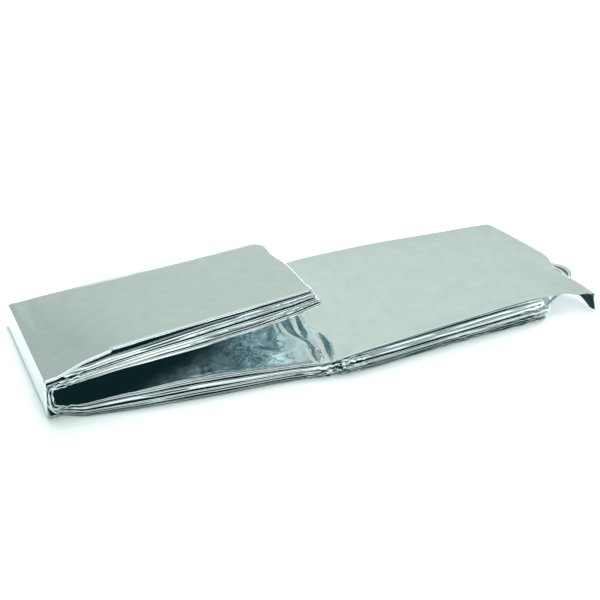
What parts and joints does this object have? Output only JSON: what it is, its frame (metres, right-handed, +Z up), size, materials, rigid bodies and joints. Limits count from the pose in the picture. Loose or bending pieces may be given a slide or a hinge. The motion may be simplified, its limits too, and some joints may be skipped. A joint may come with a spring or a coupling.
{
  "type": "folded emergency foil blanket",
  "caption": "Emergency blanket of thin silver film, folded to a narrow pad and opened a little, with its left panels lying raised over the rest.",
  "frame": {"origin": "on the floor, under the middle of the blanket's footprint", "axes": "+X runs along the folded strip from the left fold to the loose corner, +Y to the back, +Z up"},
  "size_m": [0.2989, 0.1221, 0.034],
  "materials": {
    "silver_film": "metallised polyester film, bright silver on both sides, finely wrinkled"
  },
  "bodies": {
    "root": {"foil_sheet": "silver_film"}
  },
  "joints": []
}
